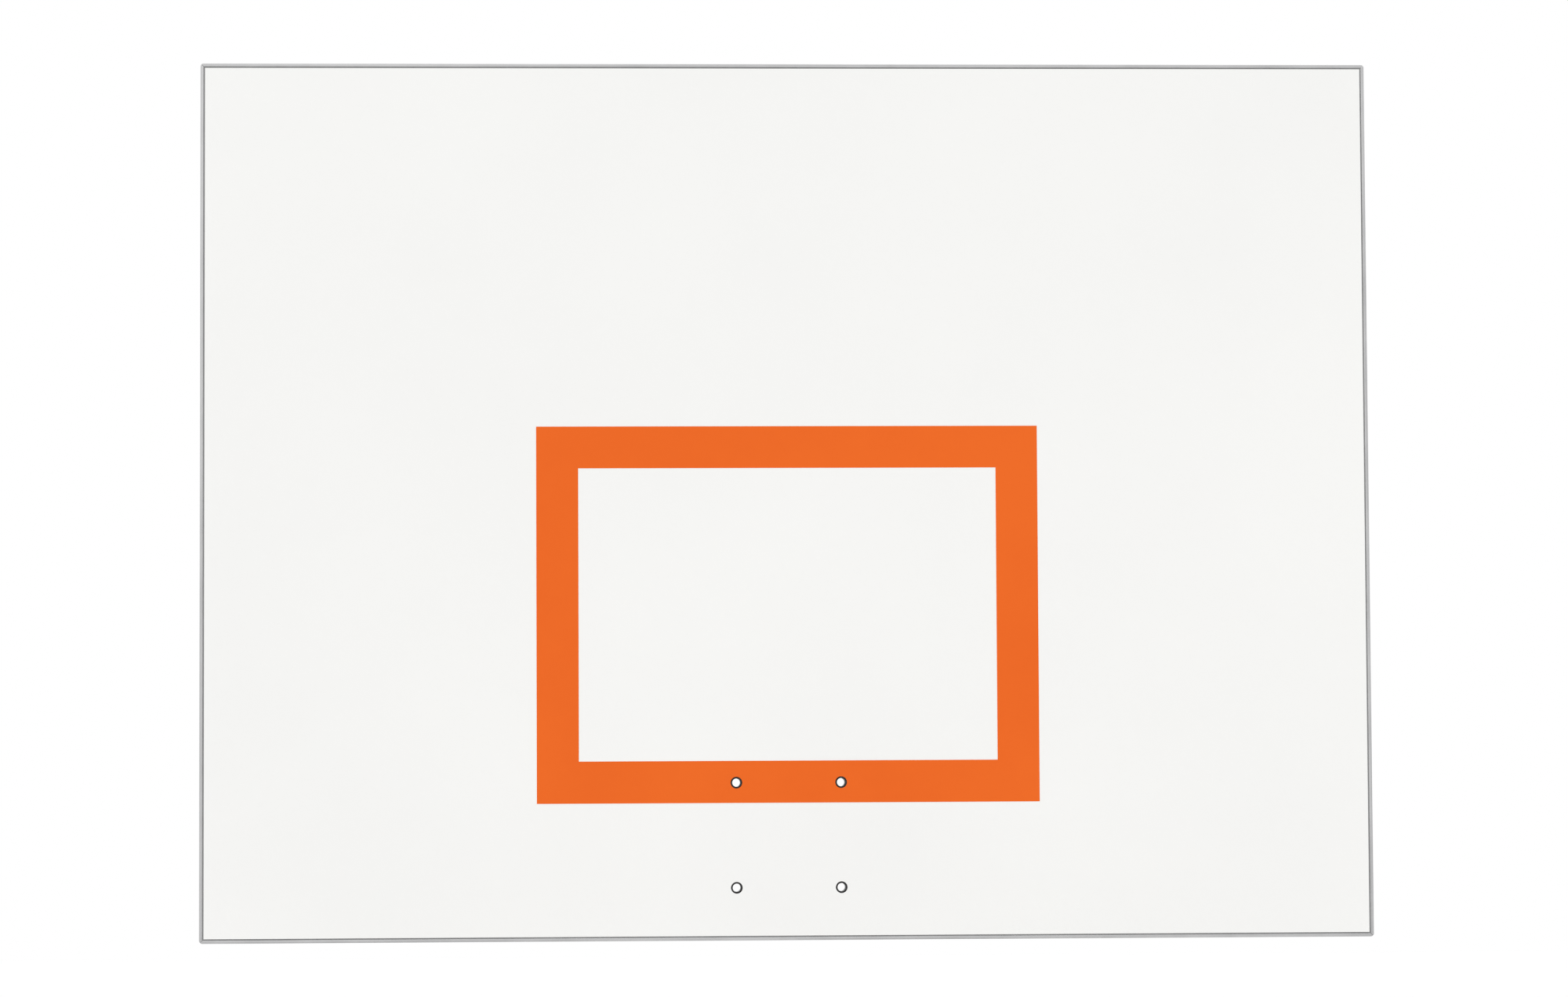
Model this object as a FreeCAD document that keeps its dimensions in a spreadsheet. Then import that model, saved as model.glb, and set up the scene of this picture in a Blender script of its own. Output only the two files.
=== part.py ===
import FreeCAD, Part
import math
import os

import Sketcher
from FreeCAD import Placement, Rotation, Vector

# Basketball backboard: a white faced panel set in a mitred angle frame, with two
# hat-section mounting rails and a pressed rim bracket bolted across its back.
# X runs to the right as seen from the court, Y towards the back and Z up.
# The origin is the centre of the four rear mounting holes, on the back of the rails.

doc = FreeCAD.newDocument("backboard")
dims = doc.addObject("Spreadsheet::Sheet", "dims")

# Driving sizes in millimetres.
sizes = {
    # Board outline and the layers of the panel, front to back.
    "board_width": 1422.4,
    "board_height": 1066.8,
    "face_sheet": 1.5,
    "core_board": 18.0,
    "back_sheet": 1.5,
    "back_inset": 3.0,  # the back sheet stops short of the frame's root
    # Target border, a film on the face.
    "target_width": 609.6,
    "target_height": 457.2,
    "target_band": 50.8,
    "target_base": 166.0,  # above the board's lower edge
    "film": 0.25,
    # Angle frame round the panel and the seal between the two.
    "frame_wall": 4.0,
    "frame_leg": 40.0,
    "frame_root": 2.0,
    "frame_round": 0.8,
    "corner_round": 4.0,
    "mitre_gap": 0.15,  # each bar stops this far short of the diagonal
    "edge_gap": 1.5,
    "seal_recess": 1.0,
    # Flat plates across the mitred corners.
    "plate_wall": 3.0,
    "plate_arm": 120.0,
    "plate_margin": 3.0,
    "plate_edge": 18.0,  # from a screw to the end of its arm
    "plate_round": 6.0,
    # Hat-section rails.
    "rail_depth": 25.0,
    "rail_crown": 50.0,
    "rail_lip": 22.0,
    "rail_sheet": 3.0,
    "rail_bend": 3.0,
    "rail_setback": 6.0,  # from the board's side to the end of a rail
    "rail_corner": 6.0,
    "pad_gap": 2.0,
    # Rear mounting holes and the nuts welded behind them.
    "mount_across": 889.0,
    "mount_inset": 279.4,  # from the board's upper and lower edges
    "mount_hole": 13.5,
    "mount_thread": 12.7,
    "mount_nut_flats": 19.05,
    "mount_nut": 11.0,
    # Rim holes, their sleeves and the bracket that backs them.
    "rim_spacing": 127.0,
    "rim_height": 63.5,  # lower holes above the board's lower edge
    "rim_bore": 10.0,
    "sleeve_wall": 2.0,
    "sleeve_clearance": 0.1,
    "bracket_width": 230.0,
    "bracket_bend": 4.0,
    "flange_setback": 3.0,  # the turned sides end this far inside the mounting plane
    "bracket_lap": 28.0,
    "bracket_corner": 8.0,
    "bracket_relief": 4.0,
    "joggle_gap": 2.0,
    "joggle_run": 8.0,
    "joggle_round": 2.0,
    "bracket_bolt_pitch": 75.0,
    # Screws that hold the panel from behind.
    "screw_shank": 4.8,
    "screw_head": 9.6,
    "screw_head_height": 3.2,
    "screw_bevel": 1.4,
    "screw_bite": 14.0,  # into the panel
    "screw_clearance": 0.4,
    "screw_margin": 60.0,
    # Countersunk bolts with washers and nuts.
    "bolt_shank": 6.0,
    "bolt_head": 12.0,
    "bolt_clearance": 0.6,
    "bolt_tip": 0.7,
    "bolt_proud": 2.5,
    "washer": 1.6,
    "washer_outer": 12.0,
    "nut": 5.0,
    "nut_flats": 10.0,
    "cut_overrun": 10.0,
}
top_screw_shares = (-1, -0.5, 0, 0.5, 1)
bottom_screw_shares = (-1, -0.5, 0.5, 1)
rail_screw_shares = (-0.8, -0.4, 0.4, 0.8)
bracket_bolt_steps = (-1, 0, 1)
match_tolerance = 1e-6

for row, (name, size) in enumerate(sizes.items(), 1):
    dims.set(f"A{row}", name)
    dims.set(f"B{row}", str(size))
    dims.setAlias(f"B{row}", name)
doc.recompute()
value = dims.get

# Depths of the faces that the pieces meet on, from the back of the rails.
lip_front = "(-dims.rail_depth)"
panel_back = f"({lip_front} - dims.frame_wall)"
core_back = f"({panel_back} - dims.back_sheet)"
core_front = f"({core_back} - dims.core_board)"
face_front = f"({core_front} - dims.face_sheet)"
panel_depth = "(dims.face_sheet + dims.core_board + dims.back_sheet)"

# Outlines and lines that several pieces share.
half_width = "dims.board_width / 2"
half_height = "dims.board_height / 2"
mount_level = f"({half_height} - dims.mount_inset)"
panel_width = "(dims.board_width - 2 * (dims.frame_wall + dims.edge_gap))"
panel_height = "(dims.board_height - 2 * (dims.frame_wall + dims.edge_gap))"
leg_line = "(dims.frame_wall + dims.frame_leg) / 2"
end_bolt_line = "(dims.rail_setback + dims.frame_leg) / 2"
rail_half = "(dims.rail_crown / 2 + dims.rail_lip)"
lip_line = "(dims.rail_crown / 2 + (dims.rail_bend + dims.rail_lip) / 2)"
tongue_half = "(dims.bracket_width / 2 - dims.bracket_bend - dims.frame_wall)"
sleeve_outer = "(dims.rim_bore + 2 * dims.sleeve_wall)"
panel_rim_hole = f"({sleeve_outer} + 2 * dims.sleeve_clearance)"
screw_hole = "(dims.screw_shank + dims.screw_clearance)"
bolt_hole = "(dims.bolt_shank + dims.bolt_clearance)"

# Rim holes, lower pair first.
rim_low = f"(-{half_height} + dims.rim_height)"
rim_high = f"({rim_low} + dims.rim_spacing)"
sides = (-1, 1)
rim_places = [(f"{side} * dims.rim_spacing / 2", level) for level in (rim_low, rim_high) for side in sides]

# Screws along each leg of the frame, as distances along the bar from its middle.
row_reach = f"({half_width} - dims.plate_arm - dims.screw_margin)"
top_row = [f"{share} * {row_reach}" for share in top_screw_shares]
bottom_row = [f"{share} * {row_reach}" for share in bottom_screw_shares]
below_rail = f"({mount_level} - {rail_half} - dims.screw_margin)"
above_rail = f"(({mount_level} + {rail_half} + {half_height} - dims.plate_arm) / 2)"
side_row = [f"{end} * {level}" for end in sides for level in (below_rail, above_rail)]
frame_screw_places = [(along, f"{half_height} - {leg_line}") for along in top_row]
frame_screw_places += [(along, f"-{half_height} + {leg_line}") for along in bottom_row]
leg_columns = [f"{side} * ({half_width} - {leg_line})" for side in sides]
frame_screw_places += [(across, up) for across in leg_columns for up in side_row]

# Four screws in each corner plate, as distances in from the board's two edges.
plate_near = "(dims.frame_leg + dims.plate_edge)"
plate_far = "(dims.plate_arm - dims.plate_edge)"
plate_insets = [(plate_near, leg_line), (plate_far, leg_line)]
plate_insets += [(up, across) for across, up in plate_insets]
corner_screw_places = [
    (f"{side} * ({half_width} - {across})", f"{end} * ({half_height} - {up})")
    for side in sides
    for end in sides
    for across, up in plate_insets
]

# Screws and bolts through the lips of the rails.
lip_levels = [f"({end} * {mount_level} + {side} * {lip_line})" for end in sides for side in sides]
rail_screw_row = [f"{share} * ({half_width} - dims.frame_leg)" for share in rail_screw_shares]
rail_screw_places = [(along, level) for level in lip_levels for along in rail_screw_row]
rail_bolt_row = [f"{side} * ({half_width} - {end_bolt_line})" for side in sides]
rail_bolt_places = [(along, level) for level in lip_levels for along in rail_bolt_row]
bracket_bolt_row = [f"{step} * dims.bracket_bolt_pitch" for step in bracket_bolt_steps]
bracket_top_places = [(along, lip_levels[0]) for along in bracket_bolt_row]
foot_line = f"(-{half_height} + dims.frame_leg - dims.bracket_lap / 2)"
bracket_foot_places = [(along, foot_line) for along in bracket_bolt_row]
panel_screw_places = frame_screw_places + corner_screw_places + rail_screw_places

mount_row = [f"{side} * dims.mount_across / 2" for side in sides]
mount_places = [(along, f"{end} * {mount_level}") for end in sides for along in mount_row]

pieces = []


def new_piece(label):
    body = doc.addObject("PartDesign::Body", label)
    body.Label = label
    pieces.append(body)
    return body


def attached_sketch(body, name, role, offset):
    plane = [feature for feature in body.Origin.OriginFeatures if feature.Role == role][0]
    sketch = body.newObject("Sketcher::SketchObject", name)
    sketch.AttachmentSupport = [(plane, "")]
    sketch.MapMode = "FlatFace"
    sketch.setExpression("AttachmentOffset.Base.z", offset)
    return sketch


def face_sketch(body, name, depth):
    # Parallel to the playing face: its own X and Y are the board's X and Z.
    return attached_sketch(body, name, "XZ_Plane", f"-{depth}")


def bind(sketch, ties):
    # Adds constraints and drives each one by its formula.
    first = sketch.ConstraintCount
    sketch.addConstraint([constraint for constraint, formula in ties])
    for step, (constraint, formula) in enumerate(ties):
        sketch.setExpression(f"Constraints[{first + step}]", formula)


def pins(sketch, element, end, x, y):
    # Ties one point of an element to a place.
    at = sketch.getPoint(element, end)
    return [
        (Sketcher.Constraint("DistanceX", -1, 1, element, end, at.x), x),
        (Sketcher.Constraint("DistanceY", -1, 1, element, end, at.y), y),
    ]


def draw_outlines(sketch, outlines):
    # Closed outlines of straight lines, each started on a unit circle and pinned at its corners.
    ties = []
    for corners in outlines:
        count = len(corners)
        turns = [2 * math.pi * step / count for step in range(count)]
        ring = [Vector(math.cos(turn), math.sin(turn), 0) for turn in turns]
        first = sketch.GeometryCount
        sketch.addGeometry([Part.LineSegment(ring[step - 1], ring[step]) for step in range(count)], False)
        joins = [(first + step - 1, 2, first + step, 1) for step in range(1, count)]
        joins.append((first + count - 1, 2, first, 1))
        sketch.addConstraint([Sketcher.Constraint("Coincident", *join) for join in joins])
        for step, (x, y) in enumerate(corners):
            ties += pins(sketch, first + step, 1, x, y)
    bind(sketch, ties)


def draw_outline(sketch, corners):
    draw_outlines(sketch, [corners])


def draw_rectangle(sketch, left, right, bottom, top):
    draw_outline(sketch, [(left, bottom), (right, bottom), (right, top), (left, top)])


def draw_panel(sketch, width, height):
    draw_rectangle(sketch, f"-{width} / 2", f"{width} / 2", f"-{height} / 2", f"{height} / 2")


def draw_circles(sketch, places, diameter):
    first = sketch.GeometryCount
    sketch.addGeometry([Part.Circle() for place in places], False)
    ties = []
    for circle, (x, y) in enumerate(places, first):
        ties += pins(sketch, circle, 3, x, y)
        ties.append((Sketcher.Constraint("Diameter", circle, 2), diameter))
    bind(sketch, ties)


def draw_hexagons(sketch, places, flats):
    # Hexagons with two flats upright.
    corner_shares = ((1, 1), (0, 2), (-1, 1), (-1, -1), (0, -2), (1, -1))
    across, up = f"{flats} / 2", f"{flats} / (2 * sqrt(3))"
    corners = [(f"{right} * {across}", f"{rise} * {up}") for right, rise in corner_shares]
    draw_outlines(sketch, [[(f"{x} + {dx}", f"{y} + {dy}") for dx, dy in corners] for x, y in places])


def add_pad(body, sketch, length, to_back=True):
    pad = body.newObject("PartDesign::Pad", f"{body.Label}_pad")
    pad.Profile = sketch
    pad.setExpression("Length", length)
    pad.Reversed = to_back
    doc.recompute()
    return pad


def add_long_pad(body, sketch, length):
    pad = body.newObject("PartDesign::Pad", f"{body.Label}_bar")
    pad.Profile = sketch
    pad.setExpression("Length", length)
    pad.SideType = "Symmetric"
    doc.recompute()


def check_cut(body, before):
    doc.recompute()
    if body.Shape.Volume >= before:
        raise RuntimeError(f"a cut in {body.Label} removed nothing")


def cut_through(body, sketch):
    before = body.Shape.Volume
    pocket = body.newObject("PartDesign::Pocket", f"{body.Label}_cut")
    pocket.Profile = sketch
    pocket.Type = "ThroughAll"
    pocket.SideType = "Symmetric"
    check_cut(body, before)


def drill(body, places, diameter):
    sketch = face_sketch(body, f"{body.Label}_holes", "(0)")
    draw_circles(sketch, places, diameter)
    cut_through(body, sketch)


def drill_blind(body, places, diameter, depth, length):
    # Holes from a face at the given depth towards the front.
    sketch = face_sketch(body, f"{body.Label}_pilots", depth)
    draw_circles(sketch, places, diameter)
    before = body.Shape.Volume
    pocket = body.newObject("PartDesign::Pocket", f"{body.Label}_bore")
    pocket.Profile = sketch
    pocket.setExpression("Length", length)
    pocket.Reversed = True
    check_cut(body, before)


def countersink(body, places):
    # Bolt holes whose heads lie flush in the face that meets the panel.
    sketch = face_sketch(body, f"{body.Label}_sinks", panel_back)
    draw_circles(sketch, places, bolt_hole)
    doc.recompute()
    before = body.Shape.Volume
    hole = body.newObject("PartDesign::Hole", f"{body.Label}_countersinks")
    hole.Profile = sketch
    doc.recompute()
    hole.DepthType = "ThroughAll"
    hole.setExpression("Diameter", bolt_hole)
    hole.HoleCutType = "Countersink"
    hole.HoleCutCustomValues = True
    hole.setExpression("HoleCutDiameter", "dims.bolt_head")
    hole.HoleCutCountersinkAngle = 90
    check_cut(body, before)


def same(a, b):
    return abs(a - b) < match_tolerance


def straight_edges(shape, axis, wanted):
    names = []
    for number, edge in enumerate(shape.Edges, 1):
        if edge.Curve.TypeId != "Part::GeomLine":
            continue
        along = edge.tangentAt(edge.FirstParameter)
        if same(abs(along.dot(axis)), 1) and wanted(edge.CenterOfMass):
            names.append(f"Edge{number}")
    return names


def circular_edges(shape, wanted):
    return [
        f"Edge{number}"
        for number, edge in enumerate(shape.Edges, 1)
        if edge.Curve.TypeId == "Part::GeomCircle" and wanted(edge)
    ]


def dress(body, kind, edges, formula):
    # A fillet (Radius) or a chamfer (Size) on edges of the piece so far.
    base = body.Tip
    feature = body.newObject(f"PartDesign::{kind}", f"{body.Label}_{kind.lower()}")
    feature.Base = (base, edges)
    feature.setExpression("Radius" if kind == "Fillet" else "Size", formula)
    doc.recompute()


# Panel: face sheet, plywood core and back sheet, drilled for the rim sleeves.
def panel_layer(label, depth, thickness, inset, screw_places):
    body = new_piece(label)
    sketch = face_sketch(body, f"{label}_outline", depth)
    draw_panel(sketch, f"({panel_width} - 2 * {inset})", f"({panel_height} - 2 * {inset})")
    draw_circles(sketch, rim_places, panel_rim_hole)
    draw_circles(sketch, screw_places, screw_hole)
    add_pad(body, sketch, thickness)
    return body


panel_layer("face_sheet", face_front, "dims.face_sheet", "0", [])
core = panel_layer("core_board", core_front, "dims.core_board", "0", [])
drill_blind(core, panel_screw_places, "dims.screw_shank", core_back, "dims.screw_bite - dims.back_sheet")
panel_layer("back_sheet", core_back, "dims.back_sheet", "dims.back_inset", panel_screw_places)

# Target border, cut out round the upper rim holes where it crosses them.
target = new_piece("target_border")
target_low = f"(-{half_height} + dims.target_base)"
sketch = face_sketch(target, "target_outline", face_front)
for inset in ("0", "dims.target_band"):
    reach = f"(dims.target_width / 2 - {inset})"
    low, high = f"{target_low} + {inset}", f"{target_low} + dims.target_height - {inset}"
    draw_rectangle(sketch, f"-{reach}", reach, low, high)
add_pad(target, sketch, "dims.film", to_back=False)
drill(target, rim_places[2:], panel_rim_hole)

# Seal in the joint between the panel and the frame, set back from the face.
seal = new_piece("edge_seal")
sketch = face_sketch(seal, "seal_outline", f"({face_front} + dims.seal_recess)")
for gap in ("dims.edge_gap", "0"):
    draw_panel(sketch, f"({panel_width} + 2 * {gap})", f"({panel_height} + 2 * {gap})")
add_pad(seal, sketch, f"{panel_depth} - dims.seal_recess - dims.frame_root")


# Angle frame: each bar lies along its own X with its outer face up, mitred at both ends.
def draw_mitre(sketch, length_name, side):
    # What is cut off one end: past the rounded corner and a line beside the diagonal.
    middle = value(length_name) / 2 - value("mitre_gap")
    radius, leg, over = value("corner_round"), value("frame_leg"), value("cut_overrun")
    turn = math.radians(45)
    tip = middle - radius + radius * math.cos(turn)
    points = [
        Vector(side * (middle - radius), over, 0),
        Vector(side * (middle - radius), 0, 0),
        Vector(side * tip, tip - middle, 0),
        Vector(side * (middle - leg - over), -leg - over, 0),
        Vector(side * (middle + over), -leg - over, 0),
        Vector(side * (middle + over), over, 0),
    ]
    # The corner's arc runs from the top of the bar to the diagonal.
    start = turn if side > 0 else 2 * turn
    circle = Part.Circle(Vector(side * (middle - radius), -radius, 0), Vector(0, 0, 1), radius)
    arc = sketch.addGeometry(Part.ArcOfCircle(circle, start, start + turn), False)
    arc_top, arc_tip = (2, 1) if side > 0 else (1, 2)
    lines = [
        sketch.addGeometry(Part.LineSegment(points[a], points[b]), False)
        for a, b in ((0, 1), (2, 3), (3, 4), (4, 5), (5, 0))
    ]
    joins = [(lines[0], 2, arc, arc_top), (arc, arc_tip, lines[1], 1)]
    joins += [(lines[step], 2, lines[step + 1], 1) for step in (1, 2, 3)]
    joins += [(lines[4], 2, lines[0], 1)]
    for join in joins:
        sketch.addConstraint(Sketcher.Constraint("Coincident", *join))
    half = f"(dims.{length_name} / 2 - dims.mitre_gap)"
    arc_x = f"{side} * ({half} - dims.corner_round)"
    outer_x = f"{side} * ({half} + dims.cut_overrun)"
    below = "-dims.frame_leg - dims.cut_overrun"
    ties = pins(sketch, lines[0], 1, arc_x, "dims.cut_overrun")
    ties += pins(sketch, lines[0], 2, arc_x, "0")
    ties += pins(sketch, lines[1], 2, f"{side} * ({half} - dims.frame_leg - dims.cut_overrun)", below)
    ties += pins(sketch, lines[2], 2, outer_x, below)
    ties += pins(sketch, lines[3], 2, outer_x, "dims.cut_overrun")
    tip_x = f"{side} * ({half} - dims.corner_round * (1 - cos(45)))"
    ties.append((Sketcher.Constraint("DistanceX", -1, 1, arc, arc_tip, side * tip), tip_x))
    ties.append((Sketcher.Constraint("Radius", arc, radius), "dims.corner_round"))
    sketch.addConstraint(Sketcher.Constraint("Vertical", arc, 3, arc, arc_top))
    bind(sketch, ties)


def frame_bar(label, length_name, turn, screw_row, bolt_places):
    body = new_piece(label)
    sketch = attached_sketch(body, f"{label}_section", "YZ_Plane", "0")
    wall, leg = "-dims.frame_wall", "-dims.frame_leg"
    angle = [(face_front, "0"), (lip_front, "0"), (lip_front, leg), (panel_back, leg), (panel_back, wall)]
    draw_outline(sketch, angle + [(face_front, wall)])
    add_long_pad(body, sketch, f"dims.{length_name}")
    back_face = -value("rail_depth") - value("frame_wall")

    def at_root(point):
        return same(point.y, back_face) and same(point.z, -value("frame_wall"))

    axis = Vector(1, 0, 0)
    dress(body, "Fillet", straight_edges(body.Shape, axis, at_root), "dims.frame_root")
    corners = (0, -value("frame_wall"), -value("frame_leg"))
    outer = straight_edges(body.Shape, axis, lambda point: any(same(point.z, at) for at in corners))
    dress(body, "Fillet", outer, "dims.frame_round")
    sketch = face_sketch(body, f"{label}_mitres", "(0)")
    for side in sides:
        draw_mitre(sketch, length_name, side)
    cut_through(body, sketch)
    half = f"dims.{length_name} / 2"
    plate_row = [f"{side} * ({half} - {inset})" for side in sides for inset in (plate_near, plate_far)]
    drill(body, [(along, f"-{leg_line}") for along in screw_row + plate_row], screw_hole)
    if bolt_places:
        countersink(body, bolt_places)
    body.Placement = Placement(Vector(0, 0, 0), Rotation(Vector(0, 1, 0), turn))
    return body


side_bolts = [(level, f"-{end_bolt_line}") for level in lip_levels]
foot_bolts = [(along, "-(dims.frame_leg - dims.bracket_lap / 2)") for along in bracket_bolt_row]
frame_top = frame_bar("frame_top", "board_width", 0, top_row, [])
frame_bottom = frame_bar("frame_bottom", "board_width", 180, bottom_row, foot_bolts)
frame_left = frame_bar("frame_left", "board_height", -90, side_row, side_bolts)
frame_right = frame_bar("frame_right", "board_height", 90, side_row, side_bolts)
frame_top.setExpression("Placement.Base.z", half_height)
frame_bottom.setExpression("Placement.Base.z", f"-{half_height}")
frame_left.setExpression("Placement.Base.x", f"-{half_width}")
frame_right.setExpression("Placement.Base.x", half_width)


# Flat plates that tie the mitres, drawn with the board's top left corner as their origin.
def corner_plate(label, side, end, turn):
    body = new_piece(label)
    inner = "(dims.frame_leg - dims.plate_margin)"
    sketch = face_sketch(body, f"{label}_outline", lip_front)
    corners = [("dims.plate_margin", "-dims.plate_margin"), ("dims.plate_arm", "-dims.plate_margin")]
    corners += [("dims.plate_arm", f"-{inner}"), (inner, f"-{inner}"), (inner, "-dims.plate_arm")]
    corners += [("dims.plate_margin", "-dims.plate_arm")]
    draw_outline(sketch, corners)
    add_pad(body, sketch, "dims.plate_wall")
    corner_edges = straight_edges(body.Shape, Vector(0, 1, 0), lambda point: True)
    dress(body, "Fillet", corner_edges, "dims.plate_round")
    drill(body, [(across, f"-{up}") for across, up in plate_insets], screw_hole)
    body.Placement = Placement(Vector(0, 0, 0), Rotation(Vector(0, 1, 0), turn))
    body.setExpression("Placement.Base.x", f"{side} * {half_width}")
    body.setExpression("Placement.Base.z", f"{end} * {half_height}")


corner_plate("corner_plate_top_left", -1, 1, 0)
corner_plate("corner_plate_top_right", 1, 1, 90)
corner_plate("corner_plate_bottom_right", 1, -1, 180)
corner_plate("corner_plate_bottom_left", -1, -1, -90)


# Hat-section rails: the lips lie on the frame and the crown carries the mounting holes.
def mounting_rail(label, end, lip_bolts):
    body = new_piece(label)
    crown, lip = "dims.rail_crown / 2", rail_half
    lip_back = f"({lip_front} + dims.rail_sheet)"
    inside = "(dims.rail_crown / 2 - dims.rail_sheet)"
    upper = [(lip_front, inside), (lip_front, lip), (lip_back, lip), (lip_back, crown), ("0", crown)]
    lower = [(depth, f"-{level}") for depth, level in reversed(upper)]
    section = upper + lower + [("-dims.rail_sheet", f"-{inside}"), ("-dims.rail_sheet", inside)]
    sketch = attached_sketch(body, f"{label}_section", "YZ_Plane", "0")
    draw_outline(sketch, section)
    add_long_pad(body, sketch, "dims.board_width - 2 * dims.rail_setback")

    # Bends of the pressed sheet: the outer radius is the inner one plus the sheet.
    axis = Vector(1, 0, 0)
    half_crown = value("rail_crown") / 2
    lip_face, sheet = -value("rail_depth"), value("rail_sheet")

    def at_outer_bend(point):
        return same(point.y, 0) or (same(point.y, lip_face) and same(abs(point.z), half_crown - sheet))

    def at_inner_bend(point):
        return same(point.y, -sheet) or (same(point.y, lip_face + sheet) and same(abs(point.z), half_crown))

    outer_bends = straight_edges(body.Shape, axis, at_outer_bend)
    dress(body, "Fillet", outer_bends, "dims.rail_bend + dims.rail_sheet")
    inner_bends = straight_edges(body.Shape, axis, at_inner_bend)
    dress(body, "Fillet", inner_bends, "dims.rail_bend")
    lip_edge = half_crown + value("rail_lip")
    ends = straight_edges(body.Shape, Vector(0, 1, 0), lambda point: same(abs(point.z), lip_edge))
    dress(body, "Fillet", ends, "dims.rail_corner")
    drill(body, [(along, "0") for along in mount_row], "dims.mount_hole")
    lips = [f"-{lip_line}", lip_line]
    drill(body, [(along, level) for level in lips for along in rail_screw_row], screw_hole)
    drill(body, [(along, level) for level in lips for along in rail_bolt_row] + lip_bolts, bolt_hole)
    body.setExpression("Placement.Base.z", f"{end} * {mount_level}")


mounting_rail("upper_rail", 1, [])
mounting_rail("lower_rail", -1, [(along, f"-{lip_line}") for along in bracket_bolt_row])


# Rubber strips that fill the frame's thickness between each lip and the panel.
def rail_pads(label, end, strips):
    body = new_piece(label)
    sketch = face_sketch(body, f"{label}_outline", panel_back)
    inner = "(dims.rail_crown / 2 + dims.rail_bend)"
    for side, (left, right) in strips:
        near = f"{end} * {mount_level} + {side} * {inner}"
        far = f"{end} * {mount_level} + {side} * {rail_half}"
        draw_rectangle(sketch, left, right, near, far)
    add_pad(body, sketch, "dims.frame_wall")
    return body


pad_end = f"({half_width} - dims.frame_leg - dims.pad_gap)"
pad_break = f"({tongue_half} + dims.pad_gap)"
whole = (f"-{pad_end}", pad_end)
left_part, right_part = (f"-{pad_end}", f"-{pad_break}"), (pad_break, pad_end)
upper_pads = rail_pads("upper_rail_pads", 1, [(-1, whole), (1, whole)])
lower_pads = rail_pads("lower_rail_pads", -1, [(1, whole), (-1, left_part), (-1, right_part)])
per_rail = len(rail_screw_places) // 2
drill(lower_pads, rail_screw_places[:per_rail], screw_hole)
drill(upper_pads, rail_screw_places[per_rail:], screw_hole)

# Nuts welded inside the rails behind the mounting holes.
mount_nuts = new_piece("mount_nuts")
sketch = face_sketch(mount_nuts, "mount_nut_outline", "(-dims.rail_sheet)")
draw_hexagons(sketch, mount_places, "dims.mount_nut_flats")
draw_circles(sketch, mount_places, "dims.mount_thread")
add_pad(mount_nuts, sketch, "dims.mount_nut", to_back=False)

# Rim bracket: a plate against the panel, joggled over the frame's lower leg, with turned-back sides.
bracket = new_piece("rim_bracket")
tongue_end = f"(-{half_height} + dims.frame_leg - dims.bracket_lap)"
joggle_low = f"(-{half_height} + dims.frame_leg + dims.joggle_gap)"
joggle_high = f"({joggle_low} + dims.joggle_run)"
joggle_shift = "(sqrt(dims.frame_wall ^ 2 + dims.joggle_run ^ 2) - dims.joggle_run)"
bracket_top = f"(-{mount_level} - dims.rail_crown / 2)"
foot_back = f"({lip_front} + dims.frame_wall)"
sketch = attached_sketch(bracket, "bracket_section", "YZ_Plane", "0")
foot = [(lip_front, joggle_low), (lip_front, tongue_end), (foot_back, tongue_end)]
foot.append((foot_back, f"{joggle_low} + {joggle_shift}"))
plate = [(lip_front, f"{joggle_high} + {joggle_shift}"), (lip_front, bracket_top)]
plate += [(panel_back, bracket_top), (panel_back, joggle_high)]
draw_outline(sketch, foot + plate)
add_long_pad(bracket, sketch, f"2 * {tongue_half}")
joggle_from = -value("board_height") / 2 + value("frame_leg")
joggle_to = joggle_from + value("joggle_gap") + 2 * value("joggle_run")
bends = straight_edges(bracket.Shape, Vector(1, 0, 0), lambda point: joggle_from < point.z < joggle_to)
dress(bracket, "Fillet", bends, "dims.joggle_round")
corners = straight_edges(bracket.Shape, Vector(0, 1, 0), lambda point: True)
dress(bracket, "Fillet", corners, "dims.bracket_corner")

flange_low = f"({joggle_high} + dims.bracket_relief)"
flange_high = f"(-{mount_level} - {rail_half} - dims.bracket_relief)"
flange_end = "(-dims.flange_setback)"
outer_side = "dims.bracket_width / 2"
inner_side = "(dims.bracket_width / 2 - dims.frame_wall)"
sketch = attached_sketch(bracket, "bracket_sides", "XY_Plane", flange_low)
right = [(outer_side, panel_back), (outer_side, flange_end)]
right += [(inner_side, flange_end), (inner_side, lip_front)]
draw_outline(sketch, right + [(f"-{across}", depth) for across, depth in reversed(right)])
add_pad(bracket, sketch, f"{flange_high} - {flange_low}", to_back=False)


def upright_edges(across, depth):
    # The two edges that run up the bracket at this distance from its middle and this depth.
    return straight_edges(
        bracket.Shape, Vector(0, 0, 1), lambda point: same(abs(point.x), across) and same(point.y, depth)
    )


half_bracket, lip_face, wall = value("bracket_width") / 2, -value("rail_depth"), value("frame_wall")
outer_bends = upright_edges(half_bracket, lip_face - wall)
dress(bracket, "Fillet", outer_bends, "dims.bracket_bend + dims.frame_wall")
inner_bends = upright_edges(half_bracket - wall, lip_face)
dress(bracket, "Fillet", inner_bends, "dims.bracket_bend")
side_back = -value("flange_setback")
side_corners = straight_edges(bracket.Shape, Vector(1, 0, 0), lambda point: same(point.y, side_back))
dress(bracket, "Fillet", side_corners, "dims.bracket_corner")
drill(bracket, rim_places, "dims.rim_bore")
drill(bracket, bracket_foot_places, bolt_hole)
countersink(bracket, bracket_top_places)

# Tubes through the panel that take the clamping load of the rim bolts.
sleeves = new_piece("rim_sleeves")
sketch = face_sketch(sleeves, "sleeve_outline", face_front)
draw_circles(sketch, rim_places, sleeve_outer)
draw_circles(sketch, rim_places, "dims.rim_bore")
add_pad(sleeves, sketch, panel_depth)


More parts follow.
